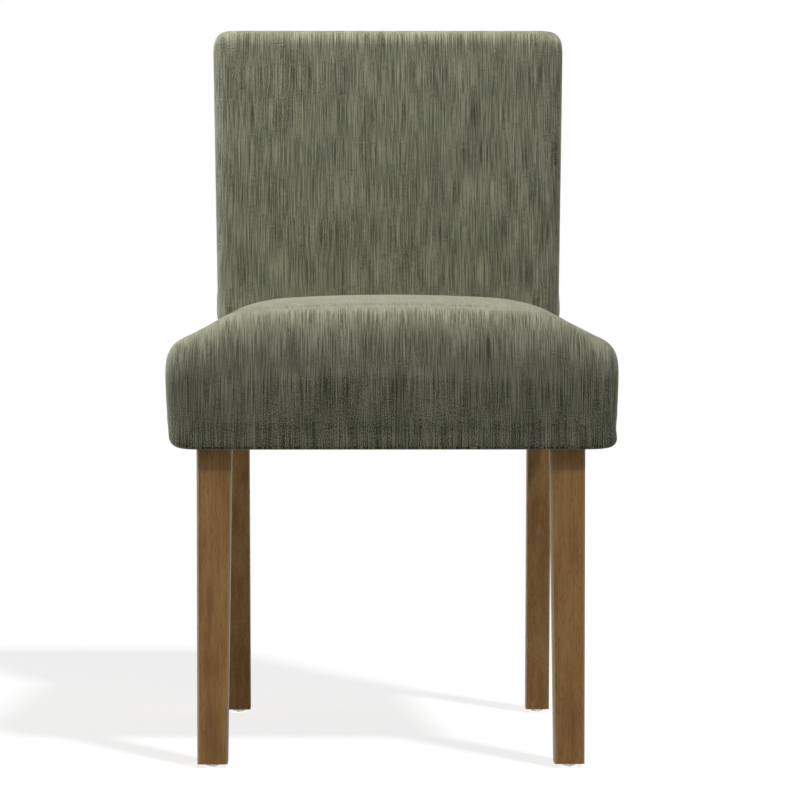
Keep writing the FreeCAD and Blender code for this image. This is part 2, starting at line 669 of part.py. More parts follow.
def seat_form(inset):
    # the front rounding is one loft and the rest another, which runs on into the back and is trimmed there
    nose_depth, overrun, stretches = size("seat_nose_depth"), 1.08, 4
    turns = [math.radians(angle) for angle in (6, 16, 30, 45, 60, 75, 90)]
    nose = [seat_outline(nose_depth * (1 - math.cos(turn) / math.cos(turns[0])), math.sin(turn), inset)
            for turn in turns]
    run = size("seat_depth") * overrun - nose_depth
    rest = [seat_outline(nose_depth + run * step / stretches, 1, inset) for step in range(stretches + 1)]
    return loft(nose).fuse(loft(rest))


def ramp(height):
    # height above the knee over which the back leans, with a soft start
    bend = size("back_bend")
    if height < -bend:
        return 0
    if height < bend:
        return (height + bend) ** 2 / (4 * bend)
    return height


def back_outline(height, turned, inset):
    # turned is how much the top rounding draws the outline in at this height
    low, high = place("knee"), size("chair_height")
    share = min(max((height - low) / (high - low), 0), 1)
    half_width = (size("back_base_width") + size("back_flare") * share) / 2
    half_width -= inset + turned
    depth = size("back_base_depth") + (size("back_top_depth") - size("back_base_depth")) * share
    front = place("back_face_at_knee") + place("lean_slope") * ramp(height - low) + inset + turned
    rear = front + depth - 2 * (inset + turned)
    above = min(max((height - size("seat_height")) / (high - size("seat_height")), 0), 1)
    soft = min(max((height - low) / (size("seat_height") - low), 0), 1)
    corner = size("back_foot_radius") + (size("back_corner_radius") - size("back_foot_radius")) * soft
    corner = max(corner - inset, size("back_foot_radius") / 2)
    never_straight = 0.01
    crown = size("back_crown") * math.sin(math.pi * above) + never_straight
    cut = corner * (1 - math.sqrt(0.5))

    def at(x, y):
        return Vector(x, y, height)

    wide, flat = half_width, half_width - corner
    edges = [
        arc(at(-flat, front), at(0, front - crown), at(flat, front)),
        arc(at(flat, front), at(wide - cut, front + cut), at(wide, front + corner)),
        Part.LineSegment(at(wide, front + corner), at(wide, rear - corner)).toShape(),
        arc(at(wide, rear - corner), at(wide - cut, rear - cut), at(flat, rear)),
        Part.LineSegment(at(flat, rear), at(-flat, rear)).toShape(),
        arc(at(-flat, rear), at(cut - wide, rear - cut), at(-wide, rear - corner)),
        Part.LineSegment(at(-wide, rear - corner), at(-wide, front + corner)).toShape(),
        arc(at(-wide, front + corner), at(cut - wide, front + cut), at(-flat, front)),
    ]
    return Part.Wire(edges)


def back_form(inset):
    low, high = size("seat_underside") + inset, size("chair_height") - inset
    knee, bend, radius = place("knee"), size("back_bend"), size("back_corner_radius")
    turn_start, lean_start, stretches = high - radius, knee + bend, 6
    foot = [back_outline(height, 0, inset) for height in (low, knee - bend)]
    heights = [knee - bend, knee, lean_start]
    heights += [lean_start + (turn_start - lean_start) * step / stretches for step in range(1, stretches + 1)]
    rest = [back_outline(height, 0, inset) for height in heights]
    top = []
    for angle in (0, 25, 50, 70):
        turn = math.radians(angle)
        top.append(back_outline(turn_start + radius * math.sin(turn), radius * (1 - math.cos(turn)), inset))
    last_turn = math.radians(84)
    top.append(back_outline(high, radius * (1 - math.cos(last_turn)), inset))
    return loft(foot).fuse([loft(rest), loft(top)])


def side_prism(corners, half_width):
    points = [Vector(-half_width, y, z) for y, z in corners]
    face = Part.Face(Part.makePolygon(points + points[:1]))
    return face.extrude(Vector(2 * half_width, 0, 0))


def plan_prism(corners, low, high):
    points = [Vector(x, y, low) for x, y in corners]
    face = Part.Face(Part.makePolygon(points + points[:1]))
    return face.extrude(Vector(0, 0, high - low))


def block(x_low, x_high, y_low, y_high, z_low, z_high):
    return Part.makeBox(x_high - x_low, y_high - y_low, z_high - z_low, Vector(x_low, y_low, z_low))


def seat_side(gap):
    # all that lies in front of the face where the two cushions meet
    slope, knee, face = place("lean_slope"), place("knee"), place("back_face_at_knee") - gap
    far, high = -size("seat_depth"), size("chair_height")
    corners = [(far, 0), (face, 0), (face, knee), (face + slope * (high - knee), high), (far, high)]
    return side_prism(corners, size("seat_width"))


def cover_opening():
    # the cover stops here under the rails, where it is turned in
    thick, low = size("fabric_thickness"), size("seat_underside")
    return plan_prism(frame_line(size("turn_under")), 0, low + 2 * thick)


def soft_piece(label, shape):
    piece = doc.addObject("Part::Feature", label)
    piece.Shape = shape
    return keep(piece, label)


def leg_notches():
    gap = size("leg_notch_gap")
    low, high = size("glide_height"), place("rail_bottom") + size("fabric_thickness")
    notches = []
    for side, sign in SIDES:
        for outer, inner, front, rear in (("leg_outer", "leg_inner", "leg_front", "leg_rear"),
                                          ("post_outer", "post_inner", "post_front", "post_rear")):
            edges = sorted((sign * (place(outer) + gap), sign * (place(inner) - gap)))
            notches.append(block(edges[0], edges[1], place(front) - gap, place(rear) + gap, low, high))
    return notches


def frame_line(margin):
    # the frame's outer faces in plan, moved inwards by a margin
    leg, post = place("leg_outer") - margin, place("post_outer") - margin
    right = [(leg, place("leg_front") + margin), (leg, place("leg_rear")),
             (post, place("post_front")), (post, place("post_rear") - margin)]
    return right + [(-x, y) for x, y in reversed(right)]


def seat_upholstery():
    cover_inside, foam_inset = place("cover_inside"), place("foam_inset")
    gap, far = size("layer_gap"), size("seat_width")
    seat_zone = seat_side(size("meeting_gap"))
    inside = seat_form(size("fabric_thickness"))
    cover = seat_form(0).common(seat_zone).cut([inside, cover_opening()] + leg_notches())
    soft_piece("seat_cover", cover)

    frame_room = plan_prism(frame_line(-gap), 0, place("rail_middle"))
    inner_zone = seat_side(size("meeting_gap") + gap)
    wadding = seat_form(cover_inside).common(inner_zone)
    wadding = wadding.cut([seat_form(foam_inset - gap), frame_room])
    soft_piece("seat_wadding", wadding)

    pad_form = seat_form(foam_inset).common(inner_zone)
    foam_bottom = place("foam_bottom")
    soft_piece("seat_foam", pad_form.cut(block(-far, far, -far, far, 0, foam_bottom)))

    band = pad_form.common(block(-far, far, -far, far, 0, foam_bottom - gap))
    front_edge = place("leg_front") - gap
    soft_piece("front_edge_foam", band.common(block(-far, far, -far, front_edge, 0, foam_bottom)))
    for side, sign in SIDES:
        # the side rail's line, carried on past the posts by a share of its run
        past = 0.2
        outer, post = place("leg_outer") + gap, place("post_outer") + gap
        rear = place("post_front") + past * (place("post_front") - place("leg_rear"))
        corners = [(sign * outer, front_edge + gap), (sign * outer, place("leg_rear")),
                   (sign * (post - past * (outer - post)), rear), (sign * far, rear),
                   (sign * far, front_edge + gap)]
        soft_piece(f"{side}_edge_foam", band.common(plan_prism(corners, 0, foam_bottom)))


def back_upholstery():
    gap, far, high = size("layer_gap"), size("seat_width"), size("chair_height")
    low, knee, top = size("seat_underside"), place("knee"), place("post_top")
    pad_bottom, side = place("back_pad_bottom"), place("side_clear")
    # below the foam the cover's front is open, behind the seat's rails
    thick = size("fabric_thickness")
    opening = block(-side, side, -far, place("post_front"), low + thick, pad_bottom - gap)
    cover = back_form(0).cut([back_form(thick), opening, cover_opening()] + leg_notches())
    soft_piece("back_cover", cover)

    strap_room = size("strap_thickness") / math.cos(math.radians(size("back_lean"))) + 1.5 * gap
    pad_rear = place("post_front") + (pad_bottom - knee) * place("post_front_slope") - strap_room
    pad_rear_top = place("post_top_front") - strap_room
    foam_zone = side_prism([(-far, pad_bottom), (pad_rear, pad_bottom), (pad_rear_top, top + gap),
                            (far, top + gap), (far, high), (-far, high)], far)
    soft_piece("back_foam", back_form(place("foam_inset")).common(foam_zone))

    board = 1.5 * gap + size("board_thickness")
    core = side_prism([(-far, 0), (-far, pad_bottom - gap), (pad_rear + gap, pad_bottom - gap),
                       (pad_rear_top + gap, top + 2 * gap), (place("post_top_rear") + board, top + 2 * gap),
                       (place("post_rear") + board, knee), (place("post_rear") + board, 0)],
                      place("post_outer") + gap)
    beside_rails = block(-side, side, -far, place("post_front") + gap, 0, pad_bottom - gap)
    foam_room = back_form(place("foam_inset") - gap).common(foam_zone)
    wadding = back_form(place("cover_inside")).cut([core, beside_rails, foam_room])
    soft_piece("back_wadding", wadding)


def dust_cover():
    thick = size("dust_cover_thickness")
    high = size("seat_underside") - size("layer_gap") / 2
    sheet = plan_prism(frame_line(size("dust_cover_margin")), high - thick, high)
    soft_piece("dust_cover", sheet.cut(leg_notches()))


def check_document():
    doc.recompute()
    for thing in doc.Objects:
        if "Invalid" in thing.State or "Error" in thing.State:
            raise RuntimeError(f"{thing.Label} has failed: {thing.State}")
    for node in nodes:
        if node.Shape.isNull() or not node.Shape.isValid() or not node.Shape.Solids:
            raise RuntimeError(f"{node.Label} has no valid solid")


def write_parts():
    os.makedirs("parts", exist_ok=True)
    for node in nodes:
        node.Shape.exportStep(f"parts/{node.Label}.step")
        print(f"{node.Label}: {len(node.Shape.Solids)} solids, {node.Shape.Volume / 1000:.1f} cm3")


fill_sheets()
frame()
screws()
glides()
seat_webbing()
back_webbing()
back_board()
seat_upholstery()
back_upholstery()
dust_cover()
check_document()
write_parts()
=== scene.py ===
import math

import bpy
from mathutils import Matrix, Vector


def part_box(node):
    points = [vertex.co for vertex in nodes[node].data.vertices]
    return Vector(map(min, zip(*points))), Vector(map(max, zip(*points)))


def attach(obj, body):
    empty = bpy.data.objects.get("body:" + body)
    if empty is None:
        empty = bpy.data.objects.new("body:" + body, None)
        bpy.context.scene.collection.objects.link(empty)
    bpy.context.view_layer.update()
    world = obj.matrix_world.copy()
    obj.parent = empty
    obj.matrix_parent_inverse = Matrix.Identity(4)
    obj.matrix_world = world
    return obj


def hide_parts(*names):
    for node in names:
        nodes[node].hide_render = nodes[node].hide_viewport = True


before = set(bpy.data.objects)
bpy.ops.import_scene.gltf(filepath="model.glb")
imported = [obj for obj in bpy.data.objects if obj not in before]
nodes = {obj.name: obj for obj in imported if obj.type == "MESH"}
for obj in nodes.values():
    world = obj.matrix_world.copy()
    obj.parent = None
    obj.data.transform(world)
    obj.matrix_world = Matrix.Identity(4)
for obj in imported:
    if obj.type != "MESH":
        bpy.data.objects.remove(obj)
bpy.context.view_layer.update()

mm = 0.001


# Small helpers

def deselectAll():
    if bpy.context.object and bpy.context.object.mode != "OBJECT":
        bpy.ops.object.mode_set(mode="OBJECT")
    bpy.ops.object.select_all(action="DESELECT")


def makeActive(piece):
    deselectAll()
    piece.select_set(True)
    bpy.context.view_layer.objects.active = piece


def addBlock(name, low, high):
    deselectAll()
    bpy.ops.mesh.primitive_cube_add(size=1, location=(low + high) / 2)
    piece = bpy.context.object
    piece.name = name
    piece.scale = high - low
    bpy.ops.object.transform_apply(location=True, rotation=True, scale=True)
    return piece


def pickFaces(piece, test):    # ends in edit mode, with the faces that pass the test selected
    makeActive(piece)
    bpy.ops.object.mode_set(mode="EDIT")
    bpy.ops.mesh.select_mode(type="FACE")
    bpy.ops.mesh.select_all(action="DESELECT")
    bpy.ops.object.mode_set(mode="OBJECT")
    for face in piece.data.polygons:
        face.select = test(face.center, face.normal)
    bpy.ops.object.mode_set(mode="EDIT")


def pickEdges(piece, test):    # the same for edges, tested by their two ends
    makeActive(piece)
    bpy.ops.object.mode_set(mode="EDIT")
    bpy.ops.mesh.select_mode(type="EDGE")
    bpy.ops.mesh.select_all(action="DESELECT")
    bpy.ops.object.mode_set(mode="OBJECT")
    corners = piece.data.vertices
    for edge in piece.data.edges:
        start, end = (corners[i].co for i in edge.vertices)
        edge.select = test(start, end)
    bpy.ops.object.mode_set(mode="EDIT")


def leaveEdit():
    bpy.ops.object.mode_set(mode="OBJECT")


def applyModifier(piece, kind, **settings):
    makeActive(piece)
    modifier = piece.modifiers.new(kind.title(), kind)
    for name, value in settings.items():
        setattr(modifier, name, value)
    bpy.ops.object.modifier_apply(modifier=modifier.name)


def smoothShade(piece, angle=40):
    makeActive(piece)
    bpy.ops.object.shade_smooth_by_angle(angle=math.radians(angle))


def dress(piece, material):
    piece.data.materials.clear()
    piece.data.materials.append(material)


# Material helpers

def toLinear(hexColour):
    parts = [int(hexColour[i:i + 2], 16) / 255 for i in (1, 3, 5)]
    return [c / 12.92 if c <= 0.04045 else ((c + 0.055) / 1.055) ** 2.4 for c in parts] + [1.0]


def addNode(tree, kind, inputs=None, **settings):
    node = tree.nodes.new(kind)
    for name, value in settings.items():
        setattr(node, name, value)
    for socket, value in (inputs or {}).items():
        if isinstance(value, bpy.types.NodeSocket):
            tree.links.new(value, node.inputs[socket])
        else:
            node.inputs[socket].default_value = value
    return node


def newMaterial(name, **shaderValues):
    material = bpy.data.materials.new(name)
    material.use_nodes = True
    shader = material.node_tree.nodes["Principled BSDF"]
    for socket, value in shaderValues.items():
        shader.inputs[socket.replace("_", " ")].default_value = value
    return material, material.node_tree, shader


def colourRamp(tree, value, stops):    # stops are (position, hex colour) pairs, at least two
    ramp = addNode(tree, "ShaderNodeValToRGB", {"Fac": value})
    marks = ramp.color_ramp.elements
    for mark, (position, colour) in zip(list(marks), (stops[0], stops[-1])):
        mark.position = position
        mark.color = toLinear(colour)
    for position, colour in stops[1:-1]:
        marks.new(position).color = toLinear(colour)
    return ramp.outputs["Color"]


def weigh(tree, parts):    # adds up values, each times its weight
    total = None
    for value, weight in parts:
        inputs = {0: value, 1: weight, 2: total if total else 0.0}
        total = addNode(tree, "ShaderNodeMath", inputs, operation="MULTIPLY_ADD").outputs[0]
    return total


def finishShader(tree, shader, colour, height, relief):    # colour and a bump of so many millimetres
    bump = addNode(tree, "ShaderNodeBump", {"Height": height, "Strength": 1.0, "Distance": relief * mm})
    tree.links.new(colour, shader.inputs["Base Color"])
    tree.links.new(bump.outputs["Normal"], shader.inputs["Normal"])


# Linen-look polyester upholstery, a plain weave of thick-and-thin yarns: a matt grey-green cloth
# with upright pale and dark streaks, a fine speckle at the crossings, and a pale bloom at its edges

linen = {
    "shade": "#343527",
    "base": "#72735f",
    "highlight": "#b4b59c",
    "yarn": 0.85,            # mm, as are the next ones: a little coarser than real so that it shows
    "streakLength": 55,
    "slubWidth": 1.3,
    "slubLength": 28,
    "weftLength": 12,
    "bandWidth": 16,
    "relief": 0.5,
}


def linenUpholstery():
    material, tree, shader = newMaterial(
        "linenLookUpholstery", Roughness=0.95, Sheen_Weight=0.8, Sheen_Roughness=0.35,
        Sheen_Tint=toLinear("#e6e7d4"), Specular_IOR_Level=0.15)
    place = addNode(tree, "ShaderNodeTexCoord")
    spot = addNode(tree, "ShaderNodeSeparateXYZ", {0: place.outputs["Object"]})
    facing = addNode(tree, "ShaderNodeSeparateXYZ", {0: place.outputs["Normal"]})
    sideways = addNode(tree, "ShaderNodeMath", {0: facing.outputs["X"]}, operation="ABSOLUTE")
    onSide = addNode(tree, "ShaderNodeMath", {0: sideways.outputs[0], 1: 0.707}, operation="GREATER_THAN")
    across = addNode(tree, "ShaderNodeMix", {
        "Factor": onSide.outputs[0], "A": spot.outputs["X"], "B": spot.outputs["Y"]})
    overTop = addNode(tree, "ShaderNodeMath", {0: spot.outputs["Z"], 1: spot.outputs["Y"]})
    along = addNode(tree, "ShaderNodeMix", {
        "Factor": onSide.outputs[0], "A": overTop.outputs[0], "B": spot.outputs["Z"]})
    cloth = addNode(tree, "ShaderNodeCombineXYZ", {"X": across.outputs[0], "Y": along.outputs[0]})

    def yarns(name, width, length, detail=0.0):    # noise stretched along one set of yarns, in mm
        scaled = addNode(tree, "ShaderNodeMapping", {
            "Vector": cloth.outputs[0], "Scale": (1 / (width * mm), 1 / (length * mm), 1)}, label=name)
        return addNode(tree, "ShaderNodeTexNoise", {
            "Vector": scaled.outputs[0], "Scale": 1.0, "Detail": detail},
            noise_dimensions="2D").outputs["Fac"]

    warp = yarns("warp yarns", linen["yarn"], linen["streakLength"])
    slubs = yarns("thick slubs", linen["slubWidth"], linen["slubLength"])
    crossings = yarns("yarn crossings", linen["yarn"], linen["yarn"])
    weft = yarns("weft yarns", linen["weftLength"], linen["yarn"])
    bands = yarns("uneven yarn", linen["bandWidth"], linen["slubLength"] * 3)
    height = weigh(tree, [(warp, 0.24), (slubs, 0.1), (crossings, 0.56), (weft, 0.1)])
    tone = weigh(tree, [(height, 0.93), (bands, 0.07)])
    colour = colourRamp(tree, tone, [
        (0.41, linen["shade"]), (0.5, linen["base"]), (0.6, linen["highlight"])])
    finishShader(tree, shader, colour, height, linen["relief"])
    return material


# Solid woods. Each is a figure of long fibres with fine pores and a slow blotch from the stain:
# stained rubberwood under satin lacquer is a warm brown, its eased edges mixed pale as a painted highlight
# and some rubbed wear, planed poplar is pale and plain, and beech is pinkish with short flecks

legWood = {
    "name": "stainedRubberwood",
    "dark": "#93693a",
    "middle": "#b58850",
    "light": "#c59b63",
    # painted highlight on the eased edges, with some rubbed wear
    "edgeHighlightAndWear": "#bfae98",
    "fibreWidth": 1.6,
    "fibreLength": 70,
    "blotch": 24,
    "poreDepth": 0.16,
    "roughness": 0.5,
    "along": "z",
}

railWood = {
    "name": "planedPoplar",
    "dark": "#b59a6c",
    "middle": "#cdb587",
    "light": "#dac69d",
    "fibreWidth": 2.4,
    "fibreLength": 110,
    "blotch": 60,
    "poreDepth": 0.05,
    "roughness": 0.7,
    "along": "x",
}

dowelWood = {
    "name": "turnedBeech",
    "dark": "#b98c63",
    "middle": "#cfa67c",
    "light": "#dcb890",
    "fibreWidth": 0.7,
    "fibreLength": 6,
    "blotch": 30,
    "poreDepth": 0.1,
    "roughness": 0.6,
    "along": "x",
}


def solidWood(look, along=None):
    along = along or look["along"]
    material, tree, shader = newMaterial(
        look["name"] + along.upper(), Roughness=look["roughness"], Specular_IOR_Level=0.35)
    place = addNode(tree, "ShaderNodeTexCoord")

    def fibres(width, length, detail):
        scale = [1 / ((length if axis == along else width) * mm) for axis in "xyz"]
        scaled = addNode(tree, "ShaderNodeMapping", {"Vector": place.outputs["Object"], "Scale": scale})
        return addNode(tree, "ShaderNodeTexNoise", {
            "Vector": scaled.outputs[0], "Scale": 1.0, "Detail": detail}).outputs["Fac"]

    figure = fibres(look["fibreWidth"], look["fibreLength"], 2.0)
    broadFigure = fibres(look["fibreWidth"] * 6, look["fibreLength"] * 2, 1.0)
    blotches = fibres(look["blotch"], look["blotch"] * 2, 2.0)
    pores = fibres(0.5, 7, 0.0)
    poreMask = addNode(tree, "ShaderNodeMapRange", {
        "Value": pores, "From Min": 0.62, "From Max": 0.72, "To Max": -look["poreDepth"]}).outputs[0]
    tone = weigh(tree, [(figure, 0.3), (broadFigure, 0.3), (blotches, 0.4), (poreMask, 1.0)])
    colour = colourRamp(tree, tone, [(0.36, look["dark"]), (0.5, look["middle"]), (0.64, look["light"])])
    # painted highlight, with some rubbed wear: the eased long edges, which face between X and Y, are mixed
    # towards a pale colour
    if "edgeHighlightAndWear" in look:    # only the eased long edges face between X and Y
        facing = addNode(tree, "ShaderNodeSeparateXYZ", {0: place.outputs["Normal"]})
        slant = addNode(tree, "ShaderNodeMath", {0: facing.outputs["X"], 1: facing.outputs["Y"]},
                        operation="MULTIPLY")
        slant = addNode(tree, "ShaderNodeMath", {0: slant.outputs[0]}, operation="ABSOLUTE")
        onEdge = addNode(tree, "ShaderNodeMapRange", {
            "Value": slant.outputs[0], "From Min": 0.22, "From Max": 0.42, "To Max": 0.85})
        colour = addNode(tree, "ShaderNodeMix", {
            "Factor": onEdge.outputs[0], "A": colour, "B": toLinear(look["edgeHighlightAndWear"])},
            data_type="RGBA").outputs["Result"]
    finishShader(tree, shader, colour, tone, 0.25)
    return material


# Hardboard, pressed from wood fibre: a plain dark tan with a felted mottle

def hardboard():
    material, tree, shader = newMaterial("pressedHardboard", Roughness=0.75, Specular_IOR_Level=0.3)
    place = addNode(tree, "ShaderNodeTexCoord").outputs["Object"]
    felt = addNode(tree, "ShaderNodeTexNoise", {
        "Vector": place, "Scale": 450.0, "Detail": 3.0}).outputs["Fac"]
    clouds = addNode(tree, "ShaderNodeTexNoise", {
        "Vector": place, "Scale": 30.0, "Detail": 2.0}).outputs["Fac"]
    tone = weigh(tree, [(felt, 0.6), (clouds, 0.4)])
    colour = colourRamp(tree, tone, [(0.38, "#6d4f31"), (0.62, "#94714b")])
    finishShader(tree, shader, colour, felt, 0.2)
    return material


# Elastic webbing, woven rubber and polypropylene: matt black, with ribs along the strap

webbing = {
    "rib": 2.5,     # spacing of the ribs and of the picks across them, in mm
    "pick": 1.2,
}


def elasticWebbing(ribAxis):
    material, tree, shader = newMaterial("elasticWebbing" + ribAxis, Roughness=0.85, Sheen_Weight=0.1)
    place = addNode(tree, "ShaderNodeTexCoord").outputs["Object"]
    ribs = addNode(tree, "ShaderNodeTexWave", {
        "Vector": place, "Scale": math.tau / (20 * webbing["rib"] * mm)}, bands_direction=ribAxis)
    picks = addNode(tree, "ShaderNodeTexWave", {
        "Vector": place, "Scale": math.tau / (20 * webbing["pick"] * mm)},
        bands_direction="X" if ribAxis == "Y" else "Y")
    fuzz = addNode(tree, "ShaderNodeTexNoise", {"Vector": place, "Scale": 900.0, "Detail": 2.0})
    tone = weigh(tree, [
        (ribs.outputs["Fac"], 0.4), (picks.outputs["Fac"], 0.25), (fuzz.outputs["Fac"], 0.35)])
    colour = colourRamp(tree, tone, [(0.25, "#161616"), (0.6, "#2c2b29"), (0.85, "#4a4844")])
    finishShader(tree, shader, colour, tone, 0.3)
    return material


# Metals: zinc-plated screws with a faint yellow passivation, and nickel-plated glides with fine scuffs

def platedSteel(name, pale, dull, roughness):
    material, tree, shader = newMaterial(name, Metallic=1.0, Roughness=roughness)
    place = addNode(tree, "ShaderNodeTexCoord").outputs["Object"]
    wear = addNode(tree, "ShaderNodeTexNoise", {
        "Vector": place, "Scale": 260.0, "Detail": 4.0}).outputs["Fac"]
    colour = colourRamp(tree, wear, [(0.35, dull), (0.65, pale)])
    matt = addNode(tree, "ShaderNodeMapRange", {
        "Value": wear, "From Min": 0.3, "From Max": 0.7,
        "To Min": roughness * 0.7, "To Max": roughness * 1.4})
    tree.links.new(matt.outputs[0], shader.inputs["Roughness"])
    finishShader(tree, shader, colour, wear, 0.03)
    return material


# Nonwoven polypropylene, pressed with a grid of small dots: a thin matt black sheet

def nonwovenSheet():
    material, tree, shader = newMaterial("nonwovenDustSheet", Roughness=0.8, Sheen_Weight=0.2)
    place = addNode(tree, "ShaderNodeTexCoord").outputs["Object"]
    dots = addNode(tree, "ShaderNodeTexVoronoi", {"Vector": place, "Scale": 380.0, "Randomness": 0.15},
                   voronoi_dimensions="2D").outputs["Distance"]
    fibres = addNode(tree, "ShaderNodeTexNoise", {
        "Vector": place, "Scale": 700.0, "Detail": 3.0}).outputs["Fac"]
    clouds = addNode(tree, "ShaderNodeTexNoise", {
        "Vector": place, "Scale": 45.0, "Detail": 2.0}).outputs["Fac"]
    tone = weigh(tree, [(dots, 0.35), (fibres, 0.4), (clouds, 0.25)])
    colour = colourRamp(tree, tone, [(0.3, "#121212"), (0.6, "#333332")])
    finishShader(tree, shader, colour, dots, 0.15)
    return material


# Cover cloths: each starts as a block round its form, is drawn onto it, then swells as real padding does

clothMaking = {
    "drawTurns": 2,
    "smoothing": 0.4,
    "smoothTurns": 2,
    "stretchStiffness": 20,
    "bendStiffness": 1.5,
    "steps": 20,
    "turnInSteps": 3,
    "leastReach": 50 * mm,       # an edge narrower than twice this is drawn in by less
}

seatCover = {
    "cell": 7 * mm,
    "room": 6 * mm,              # how far the block stands off the form before it is drawn in
    "proud": 0.4 * mm,           # smoothing draws the corners in by about as much
    "pressure": 4,
    "mostOut": 2.5 * mm,
    "mostIn": 0.4 * mm,
    "heldBelow": 22 * mm,        # nailed along the lower edge and held by the back
    "heldBehind": 16 * mm,
    "edgeHeight": 3 * mm,        # how far up from the foot still counts as the lower edge
    "tuckWidth": 20 * mm,        # drawn round the lower edge with the rest
    "hemWidth": 24 * mm,
    "rearTurnIn": 12 * mm,
    "clothThickness": 1.2 * mm,
    "fill": 0.85,
    "widen": 1.005,
    "sitsRight": 1.2 * mm,       # the cushion sits a little to the right on its frame
    "slack": [                   # place, reach and move in mm, where the cloth lies off the plain form
        ((-205, -90, 486), (48, 230, 34), (0, 0, -3.4)),
        ((205, -90, 486), (48, 230, 34), (0, 0, -3.4)),
        ((-236, -215, 458), (30, 110, 26), (-3.0, 0, 1)),
        ((238, -215, 458), (30, 110, 26), (3.2, 0, 1)),
        ((226, -235, 352), (44, 90, 24), (4.5, 0, 0)),
    ],
}

backCover = {
    "cell": 7 * mm,
    "room": 6 * mm,
    "proud": 0.2 * mm,
    "pressure": 3,
    "mostOut": 1.6 * mm,
    "mostIn": 0.3 * mm,
    "heldBelow": 130 * mm,
    "edgeHeight": 4 * mm,
    "hemWidth": 30 * mm,
    "clothThickness": 1.2 * mm,
    "fill": 0.8,
    "widenTop": 1.011,
    "widenFoot": 1.003,
    "lower": 0.9965,
    "slack": [
        ((-204, 200, 815), (26, 60, 26), (1.6, 0, -2.2)),
        ((204, 200, 815), (26, 60, 26), (-1.6, 0, -2.2)),
    ],
    "panelFromSide": 13 * mm,    # the outside back panel is sewn on inside the rear edges
    "panelFromTop": 15 * mm,
    "rearFrom": 180 * mm,        # the rear side lies behind this
    "seamWidth": 2.6 * mm,
    "seamDepth": 1.6 * mm,
}


def blockShell(name, form, sizes, openSide):    # square cells round a form, without the open sides
    low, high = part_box(form)
    room = Vector((sizes["room"],) * 3)
    rim = low.z
    low, high = low - room, high + room
    low.z = rim
    piece = addBlock(name, low, high)
    pickFaces(piece, openSide)
    bpy.ops.mesh.delete(type="FACE")
    leaveEdit()
    for axis in range(3):
        cuts = round((high - low)[axis] / sizes["cell"]) - 1
        pickEdges(piece, lambda start, end: abs((end - start)[axis]) > 0.9 * (end - start).length)
        bpy.ops.mesh.subdivide(number_cuts=cuts)
        leaveEdit()
    return piece


def drawOnto(piece, form, proud):
    for turn in range(clothMaking["drawTurns"]):
        applyModifier(piece, "SHRINKWRAP", target=nodes[form], wrap_method="NEAREST_SURFACEPOINT",
                      offset=proud, wrap_mode="ON_SURFACE")
        applyModifier(piece, "SMOOTH", factor=clothMaking["smoothing"],
                      iterations=clothMaking["smoothTurns"])


def swell(piece, sizes, held):    # cloth under pressure, held where the test says, with its travel capped
    scene = bpy.context.scene
    before = [(corner.co.copy(), corner.normal.copy()) for corner in piece.data.vertices]
    group = piece.vertex_groups.new(name="held")
    group.add([i for i, (spot, facing) in enumerate(before) if held(spot)], 1.0, "REPLACE")
    cloth = piece.modifiers.new("cloth", "CLOTH")
    cloth.settings.use_pressure = True
    cloth.settings.uniform_pressure_force = sizes["pressure"]
    cloth.settings.vertex_group_mass = "held"
    cloth.settings.tension_stiffness = clothMaking["stretchStiffness"]
    cloth.settings.compression_stiffness = clothMaking["stretchStiffness"]
    cloth.settings.bending_stiffness = clothMaking["bendStiffness"]
    cloth.settings.effector_weights.gravity = 0
    cloth.point_cache.frame_end = clothMaking["steps"]
    for step in range(clothMaking["steps"]):
        scene.frame_set(step + 1)
    makeActive(piece)
    bpy.ops.object.modifier_apply(modifier="cloth")
    scene.frame_set(1)
    for corner, (start, facing) in zip(piece.data.vertices, before):
        travel = corner.co - start
        outwards = travel.dot(facing)
        limit = sizes["mostOut"] if outwards > 0 else sizes["mostIn"]
        if travel.length > limit:
            corner.co = start + travel.normalized() * limit


def easeCloth(piece, slack):    # moves the cloth round each place, fading to nothing at its reach
    for place, reach, move in slack:
        for corner in piece.data.vertices:
            away = sum(((corner.co[i] / mm - place[i]) / reach[i]) ** 2 for i in range(3))
            if away < 1:
                corner.co += Vector(move) * mm * (1 - away) ** 2


def pickRim(piece, test):    # open edges whose ends pass the test, in edit mode
    makeActive(piece)
    bpy.ops.object.mode_set(mode="EDIT")
    bpy.ops.mesh.select_mode(type="EDGE")
    bpy.ops.mesh.select_all(action="DESELECT")
    bpy.ops.mesh.select_non_manifold(extend=False, use_wire=False, use_multi_face=False,
                                     use_non_contiguous=False, use_verts=False)
    bpy.ops.object.mode_set(mode="OBJECT")
    corners = piece.data.vertices
    for edge in piece.data.edges:
        if edge.select:
            edge.select = all(test(corners[i].co) for i in edge.vertices)
    chosen = {i for edge in piece.data.edges if edge.select for i in edge.vertices}
    for corner in corners:
        corner.select = corner.index in chosen
    bpy.ops.object.mode_set(mode="EDIT")


def turnIn(piece, test, width, across, rearStays=False):    # carries an open edge inwards, kept flat
    steps = clothMaking["turnInSteps"]
    least = clothMaking["leastReach"]
    spots = [corner.co for corner in piece.data.vertices if test(corner.co)]
    low = Vector(min(spot[i] for spot in spots) for i in range(3))
    high = Vector(max(spot[i] for spot in spots) for i in range(3))
    middle = (low + high) / 2
    if rearStays:
        middle.y = high.y
    scale = [1 - width / steps / max(high[i] - middle[i], middle[i] - low[i], least) for i in range(3)]
    scale[across] = 1
    pickRim(piece, test)
    for turn in range(steps):
        bpy.ops.mesh.extrude_edges_move()
        bpy.ops.transform.resize(value=scale, center_override=middle)
    leaveEdit()


